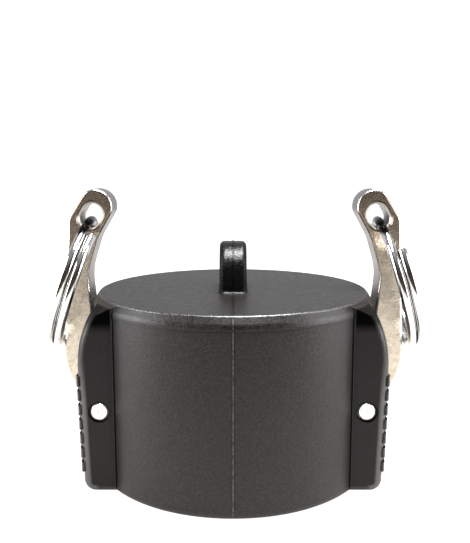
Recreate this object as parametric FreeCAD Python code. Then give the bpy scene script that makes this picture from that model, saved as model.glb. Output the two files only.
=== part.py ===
import FreeCAD, Part
import math
import os

# Camlock coupling, closed dust-cap form, nominal 2 in (DN 50).
# The cap stands on its mouth.  Origin: centre of the mouth plane.  +Z points to the closed
# end, X runs across the two cam levers, Y runs along their pivot pins.  Millimetres.

Vector = FreeCAD.Vector
X_AXIS = Vector(1, 0, 0)
Y_AXIS = Vector(0, 1, 0)
Z_AXIS = Vector(0, 0, 1)

# ---- cup ----
CUP_HEIGHT = 51.8
CUP_RADIUS = 39.8
RIM_RADIUS = 40.0            # slightly proud band round the closed end
RIM_BAND = 3.7
RIM_SLOPE_Z = 49.4           # the rim slopes in from here up to the disc's edge
RIM_SLOPE_ROUND = 2.5
DISC_RADIUS = 38.5
DISC_EDGE_ROUND = 0.6
FOOT_ROUND = 2.0
BORE_RADIUS = 32.1           # guides a 63 mm adapter head
BORE_LAND = 17.9             # the guiding wall ends here, below the cam lobes
RELIEF_RADIUS = 32.6         # wider wall from the guide up to the seal groove
MOUTH_CHAMFER = 1.2
END_WALL = 6.0

# ---- seal ----
GASKET_INNER_RADIUS = 20.65
GASKET_THICKNESS = 6.35
GASKET_SIDE_GAP = 0.10
GASKET_ROUND = 0.5
GROOVE_RADIUS = 33.2
GROOVE_HEIGHT = 6.4
GROOVE_TOP = CUP_HEIGHT - END_WALL
GROOVE_BOTTOM = GROOVE_TOP - GROOVE_HEIGHT

# ---- ears that carry the pins ----
EAR_FLAT_Y = 24.3            # half the width over the front and back flats
EAR_FOOT = (40.2, 0.0)       # corners (x, z) of the outer face, which drafts outward going up
EAR_BEND = (41.5, 42.2)
EAR_TOP = (36.3, 51.2)
EAR_FOOT_ROUND = 3.2
EAR_BEND_ROUND = 29.0
EAR_ROUND = 2.5              # along the edge between the flat and the outer face
EAR_ROOT_ROUND = 0.8         # concave round where a flat meets the cup
EAR_ROOT_TOP = 48.4
EAR_INNER_X = 20.0           # buried in the cup, cut away with the hollow
EAR_SHOULDER_RADIUS = 38.6   # outside this the ears' tops slope down as a shallow cone
EAR_SHOULDER_Z = 51.4
EAR_SHOULDER_SLOPE = 30.0    # degrees below level
EAR_SHOULDER_REACH = 20.0    # the cone runs out this far, past every ear

# ---- slot for each lever ----
SLOT_INNER_X = 27.1          # the slot's cut starts here, inside the bore
SLOT_HALF_WIDTH = 5.1
SLOT_FLOOR_Z = 6.9
WINDOW_TOP_INSIDE_Z = 34.5
WINDOW_TOP_OUTSIDE_Z = 41.3

# ---- pins ----
PIN_X = 35.45
PIN_Z = 22.74
PIN_RADIUS = 2.38
PIN_RECESS = 0.1             # the pin end sits this far below the ear's flat
PIN_END_CHAMFER = 0.3
PIN_RUNNING_GAP = 0.06
PIN_SEAT_RING_RADIUS = 2.95
PIN_SEAT_RING_DEPTH = 0.6

# ---- raised marks on the ears' outer faces (plain bars) ----
MARK_COUNT = 7
MARK_FIRST_Z = 5.7
MARK_PITCH = 3.95
MARK_HEIGHT = 2.7
MARK_PROUD = 0.6
MARK_INNER_Y = 12.0
MARK_WRAP_ANGLE = 38.0

# ---- lanyard eye on the closed end ----
EYE_HALF_WIDTH = 3.85
EYE_RADIUS = 9.1
EYE_TOP_Z = 65.7
EYE_HOLE_RADIUS = 4.0
EYE_HOLE_Z = 58.0
EYE_EDGE_ROUND = 1.5
EYE_BASE_ROUND = 1.0

# ---- moulding seam in the plane X = 0 ----
SEAM_WIDTH = 0.5
SEAM_PROUD = 0.12
SEAM_START_Z = 2.6

# ---- levers ----
ARM_HALF_THICKNESS = 4.8
ARM_EDGE_ROUND = 0.7
ARM_REST_TURN = 0.5          # degrees; both loose levers lean this much towards +X at rest
RING_EYE_X = 40.6
RING_EYE_Z = 73.2
RING_EYE_WIDTH = 5.4
RING_EYE_LENGTH = 7.2
RING_EYE_LEAN = 30.0         # degrees, the top of the oblong eye leans inward
RING_EYE_CHAMFER = 0.95

# ---- split rings ----
RING_WIRE_RADIUS = 1.25
RING_COIL_RADIUS = 18.5
RING_PITCH = 2.6             # the coils just clear each other
RING_TURNS = 1.5
RING_PATH_STEPS = 36
RING_HANG_X = 41.4           # wire centre inside the lever's eye, before the rest turn
RING_HANG_Z = 71.6
# How each ring hangs, in degrees: the front wire end's place round the coil from the eye,
# the outward lean from straight down, and the front side's swivel towards the cup's axis.
LEFT_RING = {"front_end": 33.0, "lean": 17.4, "swivel": 3.0}
RIGHT_RING = {"front_end": 54.0, "lean": 17.0, "swivel": 3.0}

LARGE = 100.0                # bigger than the part, for cutting blocks
OVERLAP = 1.0                # how far a cut or a joining piece runs past or into its neighbour
TOLERANCE = 0.01             # for telling which edges lie in one plane


def block(x0, x1, y0, y1, z0, z1):
    return Part.makeBox(x1 - x0, y1 - y0, z1 - z0, Vector(x0, y0, z0))


def cylinder(radius, start, direction, length):
    return Part.makeCylinder(radius, length, start, direction)


def outline_face(start, steps, to_point):
    """Closed flat face.  A step is an end point (straight) or a (middle, end) pair (arc)."""
    edges = []
    here = to_point(start)
    for step in steps:
        if isinstance(step[0], tuple):
            middle, end = to_point(step[0]), to_point(step[1])
            edges.append(Part.Arc(here, middle, end).toShape())
        else:
            end = to_point(step)
            edges.append(Part.LineSegment(here, end).toShape())
        here = end
    if here != to_point(start):
        edges.append(Part.LineSegment(here, to_point(start)).toShape())
    return Part.Face(Part.Wire(edges))


def corner_round(before, corner, after, radius):
    """Start, middle and end (u, v) of the arc that rounds a corner between two others."""
    corner = Vector(*corner, 0)
    to_before = Vector(*before, 0) - corner
    to_after = Vector(*after, 0) - corner
    to_before.normalize()
    to_after.normalize()
    half_angle = to_before.getAngle(to_after) / 2
    reach = radius / math.tan(half_angle)
    inward = to_before + to_after
    inward.normalize()
    middle = corner + inward * (radius / math.sin(half_angle) - radius)
    points = (corner + to_before * reach, middle, corner + to_after * reach)
    return [(point.x, point.y) for point in points]


def rounded_face(corners, to_point):
    """Closed flat face from (u, v, radius) corners, each one a round of that radius."""
    rounds = []
    for index, (u, v, radius) in enumerate(corners):
        before = corners[index - 1][:2]
        after = corners[(index + 1) % len(corners)][:2]
        rounds.append(corner_round(before, (u, v), after, radius))
    steps = []
    for start, middle, end in rounds[1:]:
        steps += [start, (middle, end)]
    first_start, first_middle, first_end = rounds[0]
    steps += [first_start, (first_middle, first_end)]
    return outline_face(first_end, steps, to_point)


def side_point(y):
    """Maps an (x, z) pair into the plane at this y."""
    return lambda pair: Vector(pair[0], y, pair[1])


def plan_point(z):
    """Maps an (x, y) pair into the plane at this z."""
    return lambda pair: Vector(pair[0], pair[1], z)


def turned_half_turn(shape):
    turned = shape.copy()
    turned.rotate(Vector(0, 0, 0), Z_AXIS, 180)
    return turned


def edges_where(shape, test):
    return [edge for edge in shape.Edges if test(edge)]


def lies_across(edge, axis):
    """True if the edge lies in one plane square to this axis ("X", "Y" or "Z")."""
    return getattr(edge.BoundBox, axis + "Length") < TOLERANCE


# ------------------------------------------------------------------ cup body

def cup_shell():
    """Wall, proud band and sloping rim, turned from one outline of (radius, z) points."""
    wall_foot = (CUP_RADIUS, 0.0)
    wall_top = (CUP_RADIUS, CUP_HEIGHT - RIM_BAND)
    band_foot = (RIM_RADIUS, wall_top[1])
    band_top = (RIM_RADIUS, RIM_SLOPE_Z)
    disc_edge = (DISC_RADIUS, CUP_HEIGHT)
    disc_middle = (0.0, CUP_HEIGHT)
    foot = corner_round((0.0, 0.0), wall_foot, wall_top, FOOT_ROUND)
    slope = corner_round(band_foot, band_top, disc_edge, RIM_SLOPE_ROUND)
    edge = corner_round(band_top, disc_edge, disc_middle, DISC_EDGE_ROUND)
    steps = [
        foot[0], tuple(foot[1:]), wall_top, band_foot,
        slope[0], tuple(slope[1:]),
        edge[0], tuple(edge[1:]), disc_middle,
    ]
    face = outline_face((0.0, 0.0), steps, side_point(0.0))
    return face.revolve(Vector(0, 0, 0), Z_AXIS, 360)


def ear_block():
    """One side's pair of ears, joined by the web below the lever slot."""
    inner_foot = (EAR_INNER_X, 0.0)
    foot = corner_round(inner_foot, EAR_FOOT, EAR_BEND, EAR_FOOT_ROUND)
    bend = corner_round(EAR_FOOT, EAR_BEND, EAR_TOP, EAR_BEND_ROUND)
    steps = [foot[0], tuple(foot[1:]), bend[0], tuple(bend[1:]), EAR_TOP, (EAR_INNER_X, EAR_TOP[1])]
    face = outline_face(inner_foot, steps, side_point(-EAR_FLAT_Y))
    ears = face.extrude(Y_AXIS * (2 * EAR_FLAT_Y))
    ears = ears.makeFillet(EAR_ROUND, edges_where(ears, is_outer_ear_edge))
    slot = block(SLOT_INNER_X, LARGE, -SLOT_HALF_WIDTH, SLOT_HALF_WIDTH, SLOT_FLOOR_Z, LARGE)
    return ears.common(under_shoulder_cone()).cut(slot)


def under_shoulder_cone():
    """Everything below the shallow cone that the ears' tops follow, down from the rim."""
    drop = EAR_SHOULDER_REACH * math.tan(math.radians(EAR_SHOULDER_SLOPE))
    cone_z = EAR_SHOULDER_Z - drop
    foot_radius = EAR_SHOULDER_RADIUS + EAR_SHOULDER_REACH
    cone = Part.makeCone(foot_radius, EAR_SHOULDER_RADIUS, drop, Z_AXIS * cone_z)
    return cone.fuse(cylinder(foot_radius, Vector(0, 0, 0), Z_AXIS, cone_z))


def is_outer_ear_edge(edge):
    """Edges of the flats that follow the outer face, from the foot to the rim."""
    on_flat, level = lies_across(edge, "Y"), lies_across(edge, "Z")
    return on_flat and not level and edge.BoundBox.XMax > EAR_TOP[0]


def ear_outer_x(z):
    """Where the drafted outer face stands at this height, below the bend."""
    return EAR_FOOT[0] + (EAR_BEND[0] - EAR_FOOT[0]) * (z - EAR_FOOT[1]) / (EAR_BEND[1] - EAR_FOOT[1])


def ear_root_strip(side_y):
    """Concave round between a flat and the cup, as a thin upright strip."""
    centre_y = EAR_FLAT_Y + EAR_ROOT_ROUND
    buried_y = EAR_FLAT_Y - OVERLAP
    centre_x = math.sqrt((CUP_RADIUS + EAR_ROOT_ROUND) ** 2 - centre_y ** 2)
    on_cup = CUP_RADIUS / (CUP_RADIUS + EAR_ROOT_ROUND)
    cup_x, cup_y = centre_x * on_cup, centre_y * on_cup
    middle_angle = math.atan2(cup_y - centre_y, cup_x - centre_x) / 2 - math.pi / 4
    middle_x = centre_x + EAR_ROOT_ROUND * math.cos(middle_angle)
    middle_y = centre_y + EAR_ROOT_ROUND * math.sin(middle_angle)
    buried_x = cup_x - 2 * OVERLAP
    face = outline_face(
        (centre_x, side_y * EAR_FLAT_Y),
        [
            ((middle_x, side_y * middle_y), (cup_x, side_y * cup_y)),
            (buried_x, side_y * buried_y),
            (centre_x, side_y * buried_y),
        ],
        plan_point(FOOT_ROUND),
    )
    return face.extrude(Z_AXIS * (EAR_ROOT_TOP - FOOT_ROUND))


def ear_mark(side_y, bottom_z):
    """A plain raised bar that wraps from an ear's outer face onto its rounded edge."""
    outer_x = ear_outer_x(bottom_z + MARK_HEIGHT / 2)
    centre = (outer_x - EAR_ROUND, EAR_FLAT_Y - EAR_ROUND)
    radius = EAR_ROUND + MARK_PROUD

    def on_round(degrees):
        angle = math.radians(degrees)
        return (centre[0] + radius * math.cos(angle),
                side_y * (centre[1] + radius * math.sin(angle)))

    face = outline_face(
        (centre[0], side_y * MARK_INNER_Y),
        [
            (centre[0] + radius, side_y * MARK_INNER_Y),
            on_round(0),
            (on_round(MARK_WRAP_ANGLE / 2), on_round(MARK_WRAP_ANGLE)),
            (centre[0], side_y * centre[1]),
        ],
        plan_point(bottom_z),
    )
    return face.extrude(Z_AXIS * MARK_HEIGHT)


def ear_side_pieces():
    """Everything that one side of the cup adds to the shell, at +X."""
    pieces = [ear_block()]
    for side_y in (-1, 1):
        pieces.append(ear_root_strip(side_y))
        for index in range(MARK_COUNT):
            pieces.append(ear_mark(side_y, MARK_FIRST_Z + index * MARK_PITCH))
    return pieces


def lanyard_eye():
    centre_z = EYE_TOP_Z - EYE_RADIUS
    base_z = CUP_HEIGHT - END_WALL / 2
    face = outline_face(
        (EYE_RADIUS, base_z),
        [
            (EYE_RADIUS, centre_z),
            ((0, EYE_TOP_Z), (-EYE_RADIUS, centre_z)),
            (-EYE_RADIUS, base_z),
        ],
        lambda pair: Vector(-EYE_HALF_WIDTH, pair[0], pair[1]),
    )
    lug = face.extrude(X_AXIS * (2 * EYE_HALF_WIDTH))
    sides = edges_where(lug, lambda edge: lies_across(edge, "X") and not lies_across(edge, "Z"))
    return lug.makeFillet(EYE_EDGE_ROUND, sides)


def rounded_eye_base(body):
    """Rounds the corner where the lanyard eye stands on the closed end."""
    def at_base(edge):
        box = edge.BoundBox
        on_top = lies_across(edge, "Z") and abs(box.ZMin - CUP_HEIGHT) < TOLERANCE
        return on_top and max(-box.YMin, box.YMax) < EYE_RADIUS + OVERLAP

    return body.makeFillet(EYE_BASE_ROUND, edges_where(body, at_base))


def moulding_seam(body):
    """A fine raised line that follows the body's own outline in the plane X = 0."""
    section = Part.Face(body.slice(X_AXIS, 0.0)[0])
    grown = section.makeOffset2D(SEAM_PROUD)
    grown.translate(Vector(-SEAM_WIDTH / 2, 0, 0))
    ridge = grown.extrude(X_AXIS * SEAM_WIDTH)
    above_foot = block(-LARGE, LARGE, -LARGE, LARGE, SEAM_START_Z, LARGE)
    return ridge.common(above_foot)


def cup_hollow():
    """The space inside the cup: guide bore, relief, seal groove and mouth chamfer."""
    parts = [
        cylinder(BORE_RADIUS, Vector(0, 0, -OVERLAP), Z_AXIS, BORE_LAND + OVERLAP),
        cylinder(RELIEF_RADIUS, Vector(0, 0, BORE_LAND), Z_AXIS, GROOVE_BOTTOM - BORE_LAND),
        cylinder(GROOVE_RADIUS, Vector(0, 0, GROOVE_BOTTOM), Z_AXIS, GROOVE_HEIGHT),
        Part.makeCone(BORE_RADIUS + MOUTH_CHAMFER, BORE_RADIUS, MOUTH_CHAMFER),
    ]
    return parts[0].multiFuse(parts[1:])


def lever_window():
    """Opening through the cup wall for one lever's cam, with a sloping top."""
    slope = (WINDOW_TOP_OUTSIDE_Z - WINDOW_TOP_INSIDE_Z) / (CUP_RADIUS - BORE_RADIUS)
    outer_x = EAR_BEND[0] + OVERLAP
    face = outline_face(
        (SLOT_INNER_X, SLOT_FLOOR_Z),
        [
            (outer_x, SLOT_FLOOR_Z),
            (outer_x, WINDOW_TOP_OUTSIDE_Z + slope * (outer_x - CUP_RADIUS)),
            (SLOT_INNER_X, WINDOW_TOP_INSIDE_Z - slope * (BORE_RADIUS - SLOT_INNER_X)),
        ],
        side_point(-SLOT_HALF_WIDTH),
    )
    return face.extrude(Y_AXIS * (2 * SLOT_HALF_WIDTH))


def pin_holes():
    """Cross hole for one pin, with a shallow wider ring round each visible end."""
    hole = cylinder(PIN_RADIUS, Vector(PIN_X, -LARGE / 2, PIN_Z), Y_AXIS, LARGE)
    rings = [
        cylinder(PIN_SEAT_RING_RADIUS, Vector(PIN_X, side * EAR_FLAT_Y, PIN_Z),
                 Y_AXIS * -side, PIN_SEAT_RING_DEPTH)
        for side in (-1, 1)
    ]
    return hole.multiFuse(rings)


def lanyard_hole():
    half_length = EYE_HALF_WIDTH + OVERLAP
    return cylinder(EYE_HOLE_RADIUS, Vector(-half_length, 0, EYE_HOLE_Z), X_AXIS, 2 * half_length)


def cap_body():
    body = rounded_eye_base(cup_shell().fuse(lanyard_eye()).removeSplitter())
    seam = moulding_seam(body)
    right_side = ear_side_pieces()
    left_side = [turned_half_turn(piece) for piece in right_side]
    body = body.multiFuse(right_side + left_side + [seam])
    cuts = [cup_hollow(), lanyard_hole()]
    for cut in (lever_window(), pin_holes()):
        cuts += [cut, turned_half_turn(cut)]
    for cut in cuts:
        body = body.cut(cut)
    return body.removeSplitter()


# ------------------------------------------------------------------ seal, pins

def gasket():
    outer_radius = GROOVE_RADIUS - GASKET_SIDE_GAP
    start = Vector(0, 0, GROOVE_TOP - GASKET_THICKNESS)
    disc = cylinder(outer_radius, start, Z_AXIS, GASKET_THICKNESS)
    hole = cylinder(GASKET_INNER_RADIUS, start, Z_AXIS, GASKET_THICKNESS)
    ring = disc.cut(hole)
    corners = edges_where(ring, lambda edge: lies_across(edge, "Z"))
    return ring.makeFillet(GASKET_ROUND, corners)


def pivot_pin():
    half_length = EAR_FLAT_Y - PIN_RECESS
    pin = cylinder(PIN_RADIUS, Vector(PIN_X, -half_length, PIN_Z), Y_AXIS, 2 * half_length)
    ends = edges_where(pin, lambda edge: lies_across(edge, "Y"))
    return pin.makeChamfer(PIN_END_CHAMFER, ends)


# ------------------------------------------------------------------ levers

def arm_corners():
    """Side view of the closed right lever: (x, z, radius), clockwise from its crown."""
    return [
        (34.45, 80.7, 5.0),      # crown, inner side
        (41.6, 80.7, 3.8),       # crown, outer side
        (46.85, 72.3, 3.0),      # shoulder
        (49.15, 30.4, 20.0),     # belly
        (44.9, 21.04, 1.8),      # heel
        (31.0, 18.56, 3.2),      # inner end of the flat that faces the bore when open
        (27.6, 26.8, 3.8),       # cam lobe
        (39.8, 37.5, 6.0),       # throat, where the lever leaves the window
        (41.75, 56.9, 18.0),     # inner edge beside the rim
        (38.75, 66.9, 14.0),     # inner edge bending in
        (34.45, 74.5, 2.5),      # inner corner of the head
    ]


def oblong_wire(y, growth):
    """Round-ended outline of the pull-ring eye in the plane at y, grown all round."""
    lean = math.radians(RING_EYE_LEAN)
    lengthwise = Vector(-math.sin(lean), 0, math.cos(lean))
    crosswise = Vector(math.cos(lean), 0, math.sin(lean))
    centre = Vector(RING_EYE_X, y, RING_EYE_Z)
    half_straight = lengthwise * ((RING_EYE_LENGTH - RING_EYE_WIDTH) / 2)
    upper, lower = centre + half_straight, centre - half_straight
    radius = RING_EYE_WIDTH / 2 + growth
    side, tip = crosswise * radius, lengthwise * radius
    return Part.Wire([
        Part.LineSegment(lower + side, upper + side).toShape(),
        Part.Arc(upper + side, upper + tip, upper - side).toShape(),
        Part.LineSegment(upper - side, lower - side).toShape(),
        Part.Arc(lower - side, lower - tip, lower + side).toShape(),
    ])


def ring_eye():
    """The through hole for the pull ring, chamfered at both faces."""
    outside = ARM_HALF_THICKNESS + OVERLAP
    hole = Part.Face(oblong_wire(-outside, 0.0)).extrude(Y_AXIS * (2 * outside))
    for side in (-1, 1):
        wide = oblong_wire(side * outside, RING_EYE_CHAMFER + OVERLAP)
        narrow = oblong_wire(side * (ARM_HALF_THICKNESS - RING_EYE_CHAMFER), 0.0)
        hole = hole.fuse(Part.makeLoft([wide, narrow], True, True))
    return hole


def cam_arm():
    face = rounded_face(arm_corners(), side_point(-ARM_HALF_THICKNESS))
    arm = face.extrude(Y_AXIS * (2 * ARM_HALF_THICKNESS))
    border = edges_where(arm, lambda edge: lies_across(edge, "Y"))
    arm = arm.makeFillet(ARM_EDGE_ROUND, border)
    bore = cylinder(PIN_RADIUS + PIN_RUNNING_GAP, Vector(PIN_X, -LARGE / 2, PIN_Z), Y_AXIS, LARGE)
    return arm.cut(ring_eye()).cut(bore).removeSplitter()


# ------------------------------------------------------------------ split rings

def at_rest(shape, side_x):
    """Turns a lever, or a point on it, by the small lean it has at rest."""
    pivot = Vector(side_x * PIN_X, 0, PIN_Z)
    if isinstance(shape, Vector):
        return pivot + FreeCAD.Rotation(Y_AXIS, ARM_REST_TURN).multVec(shape - pivot)
    turned = shape.copy()
    turned.rotate(pivot, Y_AXIS, ARM_REST_TURN)
    return turned


def pull_ring(side_x, front_end, lean, swivel):
    """One wire wound one and a half turns; a single strand passes through the eye.

    Angles run from the eye down the front.  Along that way the coil drifts towards -X.
    """
    lean, swivel = math.radians(lean), math.radians(swivel)
    to_top = Vector(-side_x * math.sin(lean), 0, math.cos(lean))
    straight_front = Vector(0, -1, 0)
    inward = to_top.cross(straight_front) * -side_x
    to_front = straight_front * math.cos(swivel) + inward * math.sin(swivel)
    normal = to_top.cross(to_front)
    hang = at_rest(Vector(side_x * RING_HANG_X, 0, RING_HANG_Z), side_x)
    centre = hang - to_top * RING_COIL_RADIUS
    first = front_end - 360.0

    def on_coil(degrees):
        angle = math.radians(degrees)
        around = to_top * math.cos(angle) + to_front * math.sin(angle)
        return centre + around * RING_COIL_RADIUS - normal * (RING_PITCH * degrees / 360.0)

    path = Part.BSplineCurve()
    step = 360.0 * RING_TURNS / RING_PATH_STEPS
    path.interpolate([on_coil(first + step * index) for index in range(RING_PATH_STEPS + 1)])
    along = path.tangent(path.FirstParameter)[0]
    section = Part.makeCircle(RING_WIRE_RADIUS, on_coil(first), along)
    return Part.Wire(path.toShape()).makePipeShell([Part.Wire(section)], True, False)


# ------------------------------------------------------------------ output

def write(node, shape):
    if shape.ShapeType == "Compound" and len(shape.Solids) == 1:
        shape = shape.Solids[0]
    shape.exportStep(os.path.join("parts", node + ".step"))
    box = shape.BoundBox
    print(node, shape.ShapeType, "valid", shape.isValid(), "volume", round(shape.Volume, 1),
          "solids", len(shape.Solids),
          [round(v, 2) for v in (box.XMin, box.XMax, box.YMin, box.YMax, box.ZMin, box.ZMax)])


def main():
    os.makedirs("parts", exist_ok=True)
    right_arm = cam_arm()
    right_pin = pivot_pin()
    write("cap_body", cap_body())
    write("gasket", gasket())
    write("cam_arm_right", at_rest(right_arm, 1))
    write("cam_arm_left", at_rest(turned_half_turn(right_arm), -1))
    write("pivot_pin_right", right_pin)
    write("pivot_pin_left", turned_half_turn(right_pin))
    write("pull_ring_right", pull_ring(1, **RIGHT_RING))
    write("pull_ring_left", pull_ring(-1, **LEFT_RING))


main()
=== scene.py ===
"""Camlock dust cap: looks, floor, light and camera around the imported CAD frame."""

import math

import bpy
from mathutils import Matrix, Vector

MM = 0.001

# ---- camera ----
SENSOR_MM = 36.0             # along the frame's longer side
LENS_MM = 46.6873
LENS_SHIFT = 0.0034991       # sideways, as a share of the frame's longer side
CAMERA_DISTANCE = 203.0 * MM
CAMERA_HEIGHT = 87.4 * MM
CAMERA_PITCH = 8.6           # degrees below level
CAMERA_NEAREST = 10.0 * MM

# ---- places on the object that the looks follow ----
LEVER_EYE = (40.6 * MM, 73.2 * MM)       # x and z of the pull-ring eye, before the rest turn
LEVER_EYE_REACH = 5.2 * MM
CHAMFER_TILT = (0.3, 0.95)               # how far the chamfer's normals point along y
EYE_WEAR_Y = 4.35 * MM                   # the ring has worn the chamfer bright inside this
RING_HANG = (41.4 * MM, 71.6 * MM)       # x and z of the wire where it runs through the eye
# the painted shadow on the wire reaches this far from where it runs through the eye
RING_SHADOW_REACH = 3.4 * MM
RIM_GLOSS_Z = 51.35 * MM                 # the disc's edge is rubbed smooth above this
RIM_GLOSS_RADIUS = 38.1 * MM             # and outside this
LUG_FOOT_Z = 51.9 * MM                   # everything above this is the lug
LUG_FACE_HALF_WIDTH = 3.2 * MM           # the rubbed middle of the lug's front
LUG_FACE_FADE = 0.8 * MM
EAR_FLAT_Y = 24.2 * MM                   # the ears' front and back flats
EAR_INNER_X = 31.0 * MM                  # the ears stand outside this
EAR_OUTER_X = 36.5 * MM                  # and their rounded edges outside this
EAR_SHOULDER_RADIUS = 40.1 * MM          # their shoulders, painted in shade, stand outside the rim
EAR_SHOULDER_Z = 44.0 * MM               # and above this
EAR_SHOULDER_FADE = 3.0 * MM
EAR_ROUND_TOP_Z = 38.0 * MM              # the ears' rounded edges are rubbed below this
EAR_ROUND_FADE = 12.0 * MM
EAR_ROOT = (0.3 * MM, 3.4 * MM)          # the cup wall beside each flat, painted in shade near the flat
LEVER_HEAD_Z = 66.0 * MM                 # the levers are painted darker above this: a painted reflection of the dark room
LEVER_BELLY_Z = 50.0 * MM                # and keep their own colour below this
SEAM_HALF_WIDTH = 0.16 * MM              # moulding seam in the plane x = 0
MASK_BLUR = 0.2 * MM                     # masks fade over this where nothing else is said
HAIRLINE = 0.1 * MM

# ---- colours, linear RGB ----
PLASTIC_PORE = (0.001, 0.0008, 0.0007)
PLASTIC_FIBRE = (0.021, 0.017, 0.0155)
PLASTIC_MOTTLE = (0.010, 0.007, 0.006)
# painted shade: the lug is darker than the rest of the moulding
PLASTIC_LUG_SHADE = (0.004, 0.004, 0.004)
# painted shade on the ears' flats
PLASTIC_EAR_FLAT_SHADE = (0.004, 0.004, 0.0045)
# the dark seam line, and the painted shade in corners, on the ears' shoulders and beside the ears
PLASTIC_SEAM_AND_SHADE = (0.002, 0.002, 0.002)
PLASTIC_SCUFF = (0.085, 0.078, 0.074)
CASTING_SHADE = (0.72, 0.64, 0.52)
CASTING_LIGHT = (0.88, 0.80, 0.68)
CASTING_STAIN = (0.46, 0.36, 0.26)
CASTING_GRAIN = (0.42, 0.34, 0.26)
# painted reflection: the levers' heads darker and browner
CASTING_PAINTED_DARK_TOP = (0.33, 0.26, 0.195)
# painted shade in the levers' crevices
CASTING_CREVICE_SHADE = (0.07, 0.055, 0.045)
CASTING_SIDE_SHADE = (0.20, 0.20, 0.22)        # painted shade on the levers' inner and outer faces
CASTING_RUBBED = (0.95, 0.92, 0.86)
EYE_BRIGHT = (0.98, 0.93, 0.84)
EYE_MARKED = (0.80, 0.73, 0.62)
EYE_UNWORN = (0.26, 0.215, 0.175)
WIRE_BRIGHT = (0.96, 0.95, 0.92)
WIRE_MARKED = (0.80, 0.80, 0.80)
# painted shade between the ring's coils
WIRE_GAP_SHADE = (0.02, 0.018, 0.016)
# painted shadow on the wire inside the levers' eyes
WIRE_EYE_SHADOW = (0.015, 0.013, 0.012)
PIN_BRIGHT = (0.90, 0.90, 0.87)
PIN_PITTED = (0.50, 0.46, 0.40)
RUBBER_CLEAN = (0.012, 0.012, 0.012)
RUBBER_DUSTY = (0.035, 0.034, 0.033)
WHITE = (1.0, 1.0, 1.0)

# ---- how strongly the plastic shines: specular level, what each mask changes, and how much shade is painted ----
SHINE_IN_CREVICE = 0.08
SHINE_IN_OPEN = 0.44
EAR_FLAT_SHINE_LOSS = 0.14
EAR_ROUND_SHINE_GAIN = 0.9
RIM_SHINE_GAIN = 1.3
LUG_SIDE_DULLING = 0.75
DARK_SEAM_DULLING = 0.5
# how dark the painted shade beside the ears' flats gets
EAR_ROOT_SHADE_DEPTH = 0.85
# how far the painted shade covers the ears' flats
EAR_FLAT_SHADE_SHARE = 0.6

# ---- how far each wear, stain and painted shade covers the casting ----
STAIN_COVER = 0.55
GRAIN_COVER = 0.30
# painted reflection darkening the levers' heads
DARK_TOP_COVER = 0.75
# painted shade on the levers' side faces
SIDE_SHADE_COVER = 0.6
RUBBED_COVER = 0.8
RUBBED_ROUGHNESS_LOSS = 0.06

# ---- studio ----
FLOOR_TONES = ((0.34, 0.34, 0.34), (0.36, 0.35, 0.34))
FLOOR_FRONT = (0.05, 0.045, 0.04)
FLOOR_BRIGHT_Y = -0.16       # the floor is white from here back
FLOOR_DARK_Y = -0.42         # and dark in front of here, where only mirrors see it
FLOOR_DARKEST = 0.10
FLOOR_BELOW = 0.1 * MM       # the floor lies this far under the object
FLOOR_GLOW = 0.58
BACKDROP_GLOW = 0.45         # what mirrors see of the floor and backdrop far from the object
GLOW_NEAR_RADIUS = 0.16
GLOW_FAR_RADIUS = 0.50
GLOW_NEAR_TINT = (1.0, 0.94, 0.88)
GLOW_FAR_TINT = (0.90, 0.93, 1.0)
SWEEP_HALF_WIDTH = 1.6
SWEEP_FRONT = -0.8
SWEEP_BACK = 1.2
SWEEP_HEIGHT = 1.6
SWEEP_RADIUS = 0.4           # the curve from floor to backdrop
SWEEP_STEPS = 12
ROOM_FRONT = (0.05, 0.040, 0.032)
ROOM_BACK = (0.67, 0.66, 0.76)
ROOM_TOP = (0.25, 0.25, 0.26)
ROOM_TURN = (-0.15, 0.45)    # the room brightens between these y of the viewing direction
ROOM_CEILING = (0.45, 0.8)   # and turns into its top between these z
LIGHT_AIM = (0.0, 0.0, 0.03)
SIDE_BOX = {"width": 0.22, "height": 0.45}
TOP_BOX = {"width": 0.40, "height": 0.20}


# ------------------------------------------------------------------ node helpers

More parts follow.
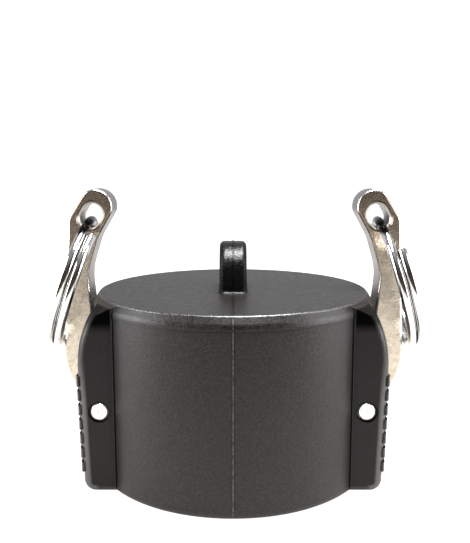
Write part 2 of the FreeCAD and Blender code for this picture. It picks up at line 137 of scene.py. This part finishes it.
class Nodes:
    """Small builder for a procedural node tree."""

    def __init__(self, tree, coords):
        self.tree = tree
        self.coords = coords

    def add(self, kind, inputs=(), **settings):
        node = self.tree.nodes.new(kind)
        for name, value in settings.items():
            setattr(node, name, value)
        for key, value in inputs:
            self.put(node.inputs[key], value)
        return node

    def put(self, socket, value):
        """Links a socket or sets a plain value."""
        if isinstance(value, bpy.types.NodeSocket):
            self.tree.links.new(value, socket)
        elif isinstance(value, tuple) and len(socket.default_value) == 4:
            socket.default_value = (*value, 1.0)
        else:
            socket.default_value = value

    def stretched(self, x, y, z):
        """Coordinates scaled per axis."""
        node = self.add("ShaderNodeMapping", [("Scale", (x, y, z)), ("Vector", self.coords)])
        return node.outputs["Vector"]

    def noise(self, size_mm, detail=2.0, roughness=0.5, vector=None, distortion=0.0):
        """Noise whose blobs are about size_mm across."""
        node = self.add("ShaderNodeTexNoise", [
            ("Scale", 1.0 / (size_mm * MM)), ("Detail", detail), ("Roughness", roughness),
            ("Distortion", distortion), ("Vector", vector or self.coords)])
        return node.outputs["Fac"]

    def spread(self, source, low, high, to_low=0.0, to_high=1.0):
        """Maps low..high to to_low..to_high, clamped; noise itself runs around 0.5."""
        node = self.add("ShaderNodeMapRange", [
            ("Value", source), ("From Min", low), ("From Max", high),
            ("To Min", to_low), ("To Max", to_high)])
        return node.outputs["Result"]

    def blend(self, factor, first, second):
        """Colour mix; first and second are colours or sockets."""
        node = self.add("ShaderNodeMix", data_type="RGBA")
        self.put(node.inputs["Factor"], factor)
        self.put(node.inputs[6], first)
        self.put(node.inputs[7], second)
        return node.outputs[2]

    def mix(self, factor, first, second):
        """Value mix from first to second."""
        node = self.add("ShaderNodeMix", [(0, factor), (2, first), (3, second)], data_type="FLOAT")
        return node.outputs[0]

    def math(self, operation, first, second=0.0):
        node = self.add("ShaderNodeMath", [(0, first), (1, second)], operation=operation)
        return node.outputs[0]

    def product(self, first, *others):
        for other in others:
            first = self.math("MULTIPLY", first, other)
        return first

    def either(self, first, second):
        """The stronger of two masks."""
        return self.math("MAXIMUM", first, second)

    def size(self, value):
        return self.math("ABSOLUTE", value)

    def rise(self, source, start, fade=MASK_BLUR):
        """0 up to start, then 1 from a fade's length further on."""
        return self.spread(source, start, start + fade)

    def fall(self, source, start, fade):
        """0 beyond start, and 1 from a fade's length before it."""
        return self.spread(source, start, start - fade)

    def axes(self, vector):
        node = self.add("ShaderNodeSeparateXYZ", [(0, vector)])
        return node.outputs["X"], node.outputs["Y"], node.outputs["Z"]

    def distance(self, across, along):
        """Length of the pair (across, along)."""
        squares = self.math("ADD", self.product(across, across), self.product(along, along))
        return self.math("SQRT", squares)


class Shader(Nodes):
    """One procedural material."""

    def __init__(self, name):
        self.material = bpy.data.materials.new(name)
        self.material.use_nodes = True
        tree = self.material.node_tree
        self.principled = tree.nodes["Principled BSDF"]
        super().__init__(tree, tree.nodes.new("ShaderNodeTexCoord").outputs["Object"])
        self.normal = tree.nodes.new("ShaderNodeTexCoord").outputs["Normal"]

    def feed(self, **values):
        for name, value in values.items():
            self.put(self.principled.inputs[name.replace("_", " ")], value)

    def bump(self, height, depth_mm, below=None):
        node = self.add("ShaderNodeBump", [("Strength", 1.0), ("Distance", depth_mm * MM),
                                           ("Height", height)])
        if below is not None:
            self.put(node.inputs["Normal"], below)
        return node.outputs["Normal"]

    def cavity(self, reach_mm, with_neighbours=False):
        """1 in the open, falling towards 0 in corners closer than reach_mm."""
        node = self.add("ShaderNodeAmbientOcclusion", [("Distance", reach_mm * MM)],
                        samples=8, only_local=not with_neighbours)
        return node.outputs["AO"]


# ------------------------------------------------------------------ materials

def black_plastic():
    """Glass-filled polypropylene: near black, satin, with fine speckle and flow mottling, and with
    shade painted on the lug, the ears' flats, shoulders and roots, and into corners.
    """
    shader = Shader("black_polypropylene")
    speckle = shader.noise(size_mm=0.55, detail=3.0, roughness=0.75)
    flow = shader.noise(size_mm=2.2, detail=3.0, vector=shader.stretched(1.0, 1.0, 0.25))
    lug, lug_face = lug_masks(shader)
    rim = rim_mask(shader)
    ear_flat, ear_round, outside_ear_shade = ear_masks(shader)
    scuffed_seam, dark_seam = seam_masks(shader)
    # 1 outside the painted shade of corners, the ears' shoulders and the wall beside the ears
    outside_painted_shade = shader.product(shader.spread(shader.cavity(reach_mm=2.5), 0.45, 0.92), outside_ear_shade)

    base = plastic_base(shader, speckle)
    # painted shade: the lug gets a darker base colour
    base = shader.blend(lug, base, PLASTIC_LUG_SHADE)
    # painted shade on the ears' flats
    base = shader.blend(shader.product(ear_flat, EAR_FLAT_SHADE_SHARE), base, PLASTIC_EAR_FLAT_SHADE)
    base = shader.blend(scuffed_seam, base, PLASTIC_SCUFF)
    base = shader.blend(dark_seam, base, PLASTIC_SEAM_AND_SHADE)
    # paints that shade into the base colour
    base = shader.blend(outside_painted_shade, PLASTIC_SEAM_AND_SHADE, base)

    shine = shader.mix(outside_painted_shade, SHINE_IN_CREVICE, SHINE_IN_OPEN)
    shine = shader.math("SUBTRACT", shine, shader.product(ear_flat, EAR_FLAT_SHINE_LOSS))
    shine = shader.math("ADD", shine, shader.product(ear_round, EAR_ROUND_SHINE_GAIN))
    shine = shader.math("ADD", shine, shader.product(rim, RIM_SHINE_GAIN))
    lug_side = shader.math("SUBTRACT", lug, lug_face)
    matt = shader.either(shader.product(lug_side, LUG_SIDE_DULLING),
                         shader.product(dark_seam, DARK_SEAM_DULLING))
    shine = shader.product(shine, shader.math("SUBTRACT", 1.0, matt))

    rough = plastic_roughness(shader, speckle, flow, lug_face, rim)
    shader.feed(Base_Color=base, Roughness=rough, Specular_IOR_Level=shine)
    grain = shader.bump(speckle, depth_mm=0.085)
    shader.feed(Normal=shader.bump(flow, depth_mm=0.03, below=grain))
    return shader.material


def plastic_base(shader, speckle):
    """Dark pores and lighter fibre specks, with broad brownish mottling over both."""
    mottle = shader.noise(size_mm=4.0, detail=4.0, roughness=0.6)
    specks = shader.blend(shader.spread(speckle, 0.42, 0.62), PLASTIC_PORE, PLASTIC_FIBRE)
    return shader.blend(shader.spread(mottle, 0.40, 0.75, to_high=0.5), specks, PLASTIC_MOTTLE)


def plastic_roughness(shader, speckle, flow, lug_face, rim):
    """Satin as moulded, glossier where rubbed, and broken up by the speckle everywhere."""
    flowing = shader.spread(flow, 0.3, 0.7, to_low=0.36, to_high=0.44)
    speckled = shader.spread(speckle, 0.35, 0.65, to_low=-0.06, to_high=0.08)
    moulded = shader.math("ADD", flowing, speckled)
    rubbed = shader.spread(speckle, 0.40, 0.60, to_low=0.08, to_high=0.34)
    rough = shader.mix(shader.either(lug_face, rim), moulded, rubbed)
    return shader.mix(rim, rough, shader.spread(speckle, 0.40, 0.60, to_low=0.20, to_high=0.42))


def lug_masks(shader):
    """The lanyard lug, and the rubbed middle of its front."""
    x, y, z = shader.axes(shader.coords)
    lug = shader.rise(z, LUG_FOOT_Z)
    return lug, shader.product(lug, shader.fall(shader.size(x), LUG_FACE_HALF_WIDTH, LUG_FACE_FADE))


def rim_mask(shader):
    """The narrow round edge of the disc."""
    x, y, z = shader.axes(shader.coords)
    outside = shader.rise(shader.distance(x, y), RIM_GLOSS_RADIUS)
    return shader.product(shader.rise(z, RIM_GLOSS_Z), outside)


def ear_masks(shader):
    """The ears' flats, the lower part of their rounded edges, and 0 where shade is painted on their
    shoulders and on the wall beside them.
    """
    x, y, z = shader.axes(shader.coords)
    from_middle = shader.size(x)
    on_ear = shader.math("GREATER_THAN", from_middle, EAR_INNER_X)
    flat = shader.product(on_ear, shader.math("GREATER_THAN", shader.size(y), EAR_FLAT_Y))

    outer = shader.rise(from_middle, EAR_OUTER_X - MM / 2, MM)
    facing = shader.size(shader.axes(shader.normal)[1])
    turning = shader.product(shader.spread(facing, 0.999, 0.98), shader.spread(facing, 0.05, 0.3))
    low = shader.fall(z, EAR_ROUND_TOP_Z, EAR_ROUND_FADE)
    rounded = shader.product(outer, turning, low)

    outside = shader.rise(shader.distance(x, y), EAR_SHOULDER_RADIUS, HAIRLINE)
    shoulder = shader.product(outside, shader.rise(z, EAR_SHOULDER_Z, EAR_SHOULDER_FADE))
    # painted shade on the shoulders and on the wall beside the flats
    ear_painted_shade = shader.either(shoulder, ear_root_mask(shader, y, z))
    return flat, rounded, shader.math("SUBTRACT", 1.0, ear_painted_shade)


def ear_root_mask(shader, y, z):
    """The strip of cup wall beside each ear's flat, where little light gets in, painted in shade.
    """
    near, far = EAR_ROOT
    beyond_flat = shader.math("SUBTRACT", shader.size(y), EAR_FLAT_Y)
    off_flat = shader.math("GREATER_THAN", beyond_flat, MASK_BLUR)
    close = shader.spread(beyond_flat, far, near)
    on_wall = shader.math("LESS_THAN", z, RIM_GLOSS_Z)
    return shader.product(off_flat, close, on_wall, EAR_ROOT_SHADE_DEPTH)


def seam_masks(shader):
    """The moulding seam: scuffed light on the wall, dark on the disc and lug."""
    x, y, z = shader.axes(shader.coords)
    front = shader.math("LESS_THAN", y, 0.0)
    line = shader.product(front, shader.math("LESS_THAN", shader.size(x), SEAM_HALF_WIDTH))
    on_wall = shader.product(line, shader.math("LESS_THAN", z, RIM_GLOSS_Z))
    broken = shader.spread(shader.noise(size_mm=0.9, detail=3.0), 0.30, 0.60)
    return shader.product(on_wall, broken), shader.math("SUBTRACT", line, on_wall)


def cast_stainless():
    """Investment-cast lever: blasted and tumbled, grainy, brighter on rubbed edges, with painted
    shade in crevices and on its side faces and a painted reflection darkening its head.
    """
    shader = Shader("cast_stainless")
    grain = shader.noise(size_mm=0.35, detail=4.0, roughness=0.65)
    patches = shader.noise(size_mm=5.0, detail=3.0, roughness=0.55)
    stain = shader.noise(size_mm=1.6, detail=5.0, roughness=0.65, distortion=0.4)
    base = shader.blend(shader.spread(patches, 0.35, 0.7), CASTING_SHADE, CASTING_LIGHT)
    base = shader.blend(shader.spread(stain, 0.48, 0.70, to_high=STAIN_COVER), base, CASTING_STAIN)
    base = shader.blend(shader.spread(grain, 0.42, 0.62, to_high=GRAIN_COVER), base, CASTING_GRAIN)
    z = shader.axes(shader.coords)[2]
    # painted reflection: darker towards the head
    painted_dark_top = shader.spread(z, LEVER_BELLY_Z, LEVER_HEAD_Z, to_high=DARK_TOP_COVER)
    base = shader.blend(painted_dark_top, base, CASTING_PAINTED_DARK_TOP)
    # painted shade in crevices
    outside_painted_shade = shader.spread(shader.cavity(reach_mm=3.0), 0.40, 0.85)
    base = shader.blend(outside_painted_shade, CASTING_CREVICE_SHADE, base)

    facing = shader.size(shader.axes(shader.normal)[1])
    # painted shade: faces turned sideways get a darker, cooler colour
    side_shade = shader.spread(facing, 0.30, 0.10, to_high=SIDE_SHADE_COVER)
    base = shader.blend(side_shade, base, CASTING_SIDE_SHADE)
    rubbed = shader.product(shader.spread(facing, 0.15, 0.45), shader.spread(facing, 0.97, 0.80))
    base = shader.blend(shader.product(rubbed, RUBBED_COVER), base, CASTING_RUBBED)
    rough = shader.spread(grain, 0.3, 0.7, to_low=0.22, to_high=0.36)
    rough = shader.math("SUBTRACT", rough, shader.product(rubbed, RUBBED_ROUGHNESS_LOSS))
    shader.feed(Base_Color=base, Metallic=1.0, Roughness=rough)
    waves = shader.bump(patches, depth_mm=0.10)
    shader.feed(Normal=shader.bump(grain, depth_mm=0.05, below=waves))
    return shader.material


def polished_stainless():
    """The eye's chamfer, its inner part worn bright by the pull ring."""
    shader = Shader("polished_stainless")
    marks = shader.noise(size_mm=0.8, detail=4.0, roughness=0.6)
    bright = shader.blend(shader.spread(marks, 0.4, 0.7), EYE_BRIGHT, EYE_MARKED)
    depth = shader.size(shader.axes(shader.coords)[1])
    unworn = shader.rise(depth, EYE_WEAR_Y - HAIRLINE / 2, HAIRLINE)
    base = shader.blend(unworn, bright, EYE_UNWORN)
    metal = shader.mix(unworn, 0.4, 1.0)
    rough = shader.spread(marks, 0.3, 0.7, to_low=0.30, to_high=0.42)
    shader.feed(Base_Color=base, Metallic=metal, Roughness=rough)
    shader.feed(Normal=shader.bump(marks, depth_mm=0.03))
    return shader.material


def bright_wire():
    """Plated spring wire: mirror-like with faint drawing marks and dull specks, with painted shade
    between the coils and a painted shadow inside the levers' eyes.
    """
    shader = Shader("ring_wire")
    marks = shader.noise(size_mm=1.2, detail=4.0, roughness=0.7)
    base = shader.blend(shader.spread(marks, 0.4, 0.7), WIRE_BRIGHT, WIRE_MARKED)
    # painted shade between the coils
    outside_painted_shade = shader.spread(shader.cavity(reach_mm=3.0, with_neighbours=True), 0.42, 0.74)
    base = shader.blend(outside_painted_shade, WIRE_GAP_SHADE, base)
    # painted shadow where the wire runs through the eye
    base = shader.blend(ring_eye_shadow_mask(shader), base, WIRE_EYE_SHADOW)
    specks = shader.noise(size_mm=0.5, detail=3.0)
    rough = shader.spread(specks, 0.4, 0.75, to_low=0.06, to_high=0.20)
    shader.feed(Base_Color=base, Metallic=1.0, Roughness=rough)
    shader.feed(Normal=shader.bump(marks, depth_mm=0.015))
    return shader.material


def ring_eye_shadow_mask(shader):
    """Painted shadow: black on the wire where it runs through a lever's eye."""
    x, y, z = shader.axes(shader.coords)
    hang_x, hang_z = RING_HANG
    across = shader.math("SUBTRACT", shader.size(x), hang_x)
    along = shader.math("SUBTRACT", z, hang_z)
    return shader.fall(shader.distance(across, along), RING_SHADOW_REACH, MM)


def pin_steel():
    """Ground pin with a sheared, slightly pitted end."""
    shader = Shader("pin_steel")
    pits = shader.noise(size_mm=0.5, detail=4.0, roughness=0.7)
    base = shader.blend(shader.spread(pits, 0.52, 0.68), PIN_BRIGHT, PIN_PITTED)
    rough = shader.spread(pits, 0.3, 0.7, to_low=0.30, to_high=0.45)
    shader.feed(Base_Color=base, Metallic=1.0, Roughness=rough)
    shader.feed(Normal=shader.bump(pits, depth_mm=0.03))
    return shader.material


def seal_rubber():
    """Nitrile seal ring: deep black, faintly dusty."""
    shader = Shader("nitrile_rubber")
    dust = shader.noise(size_mm=2.0, detail=5.0, roughness=0.7)
    base = shader.blend(shader.spread(dust, 0.45, 0.75), RUBBER_CLEAN, RUBBER_DUSTY)
    shader.feed(Base_Color=base, Roughness=shader.spread(dust, 0.3, 0.7, to_low=0.55, to_high=0.75))
    shader.feed(Normal=shader.bump(dust, depth_mm=0.02))
    return shader.material


NODE_MATERIALS = {
    "cap_body": black_plastic,
    "gasket": seal_rubber,
    "cam_arm": cast_stainless,
    "pivot_pin": pin_steel,
    "pull_ring": bright_wire,
}


def dress_cad_nodes(nodes):
    made = {key: maker() for key, maker in NODE_MATERIALS.items()}
    for name, node in nodes.items():
        key = next(key for key in made if name.startswith(key))
        node.data.materials.clear()
        node.data.materials.append(made[key])
    polish = polished_stainless()
    for name, side in (("cam_arm_left", -1), ("cam_arm_right", 1)):
        polish_eye_chamfer(nodes[name], side, polish)


def polish_eye_chamfer(arm, side, polish):
    """Gives the sloping faces round a lever's eye their own bright slot."""
    arm.data.materials.append(polish)
    eye_x, eye_z = side * LEVER_EYE[0], LEVER_EYE[1]
    for polygon in arm.data.polygons:
        near = math.hypot(polygon.center.x - eye_x, polygon.center.z - eye_z) < LEVER_EYE_REACH
        if near and CHAMFER_TILT[0] < abs(polygon.normal.y) < CHAMFER_TILT[1]:
            polygon.material_index = 1


# ------------------------------------------------------------------ studio

def floor_white():
    """Pale floor paper: plain white to the camera, fading out towards the front for mirrors."""
    shader = Shader("floor_white")
    x, y, z = shader.axes(shader.coords)
    fade = shader.spread(y, FLOOR_DARK_Y, FLOOR_BRIGHT_Y, to_low=FLOOR_DARKEST)
    base = shader.blend(shader.noise(size_mm=60.0, detail=1.0), *FLOOR_TONES)
    base = shader.blend(fade, FLOOR_FRONT, base)
    away = shader.spread(shader.distance(x, y), GLOW_NEAR_RADIUS, GLOW_FAR_RADIUS)
    mirrored = shader.product(fade, shader.mix(away, FLOOR_GLOW, BACKDROP_GLOW))
    seen = shader.add("ShaderNodeLightPath").outputs["Is Camera Ray"]
    tint = shader.blend(seen, shader.blend(away, GLOW_NEAR_TINT, GLOW_FAR_TINT), WHITE)
    shader.feed(Base_Color=base, Roughness=0.9, Specular_IOR_Level=0.0)
    shader.feed(Emission_Color=tint, Emission_Strength=shader.either(seen, mirrored))
    return shader.material


def sweep_profile():
    """Points (y, z) of the floor, the curve behind it and the backdrop."""
    curve_y = SWEEP_BACK - SWEEP_RADIUS
    profile = [(SWEEP_FRONT, 0.0), (curve_y, 0.0)]
    for step in range(1, SWEEP_STEPS + 1):
        angle = math.radians(90.0 * step / SWEEP_STEPS)
        profile.append((curve_y + SWEEP_RADIUS * math.sin(angle),
                        SWEEP_RADIUS - SWEEP_RADIUS * math.cos(angle)))
    profile.append((SWEEP_BACK, SWEEP_HEIGHT))
    return profile


def floor_sweep():
    """A pale floor that curves up into a backdrop behind the object."""
    profile = sweep_profile()
    sides = (-SWEEP_HALF_WIDTH, SWEEP_HALF_WIDTH)
    vertices = [(x, y, z - FLOOR_BELOW) for y, z in profile for x in sides]
    faces = [(2 * i, 2 * i + 1, 2 * i + 3, 2 * i + 2) for i in range(len(profile) - 1)]
    mesh = bpy.data.meshes.new("studio_floor")
    mesh.from_pydata(vertices, [], faces)
    mesh.materials.append(floor_white())
    floor = bpy.data.objects.new("studio_floor", mesh)
    bpy.context.scene.collection.objects.link(floor)


def soft_box(name, place, power, width, height):
    """A rectangular lamp that faces the object."""
    light = bpy.data.lights.new(name, "AREA")
    light.shape = "RECTANGLE"
    light.size = width
    light.size_y = height
    light.energy = power
    lamp = bpy.data.objects.new(name, light)
    lamp.location = place
    direction = Vector(LIGHT_AIM) - Vector(place)
    lamp.rotation_euler = direction.to_track_quat("-Z", "Y").to_euler()
    bpy.context.scene.collection.objects.link(lamp)


def studio_world():
    """White to the eye, but the object mirrors a darker, warm room on the camera's side."""
    world = bpy.data.worlds.new("studio_world")
    world.use_nodes = True
    tree = world.node_tree
    nodes = Nodes(tree, tree.nodes.new("ShaderNodeTexCoord").outputs["Generated"])
    x, y, z = nodes.axes(nodes.coords)
    room = nodes.blend(nodes.spread(y, *ROOM_TURN), ROOM_FRONT, ROOM_BACK)
    room = nodes.blend(nodes.spread(z, *ROOM_CEILING), room, ROOM_TOP)
    seen = nodes.add("ShaderNodeLightPath").outputs["Is Camera Ray"]
    nodes.put(tree.nodes["Background"].inputs["Color"], nodes.blend(seen, room, WHITE))
    bpy.context.scene.world = world


def light_studio():
    studio_world()
    soft_box("soft_left", (-0.60, -0.10, 0.22), power=4.8, **SIDE_BOX)
    soft_box("soft_right", (0.60, -0.10, 0.22), power=4.2, **SIDE_BOX)
    soft_box("soft_top", (0.08, -0.07, 0.60), power=8.0, **TOP_BOX)


def place_camera():
    camera = bpy.data.cameras.new("camera")
    camera.sensor_width = SENSOR_MM
    camera.lens = LENS_MM
    camera.shift_x = LENS_SHIFT
    camera.clip_start = CAMERA_NEAREST
    holder = bpy.data.objects.new("camera", camera)
    holder.location = (0.0, -CAMERA_DISTANCE, CAMERA_HEIGHT)
    holder.rotation_euler = (math.radians(90.0 - CAMERA_PITCH), 0.0, 0.0)
    bpy.context.scene.collection.objects.link(holder)
    bpy.context.scene.camera = holder


# ------------------------------------------------------------------ main


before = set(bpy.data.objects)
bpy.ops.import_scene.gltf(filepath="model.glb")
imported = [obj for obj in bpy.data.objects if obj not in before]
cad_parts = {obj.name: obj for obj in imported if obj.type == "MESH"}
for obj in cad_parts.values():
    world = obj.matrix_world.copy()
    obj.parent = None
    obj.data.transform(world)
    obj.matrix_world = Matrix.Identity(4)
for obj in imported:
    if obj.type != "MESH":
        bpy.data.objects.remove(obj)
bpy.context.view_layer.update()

dress_cad_nodes(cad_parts)
floor_sweep()
light_studio()
place_camera()
bpy.context.scene.view_settings.view_transform = "Standard"
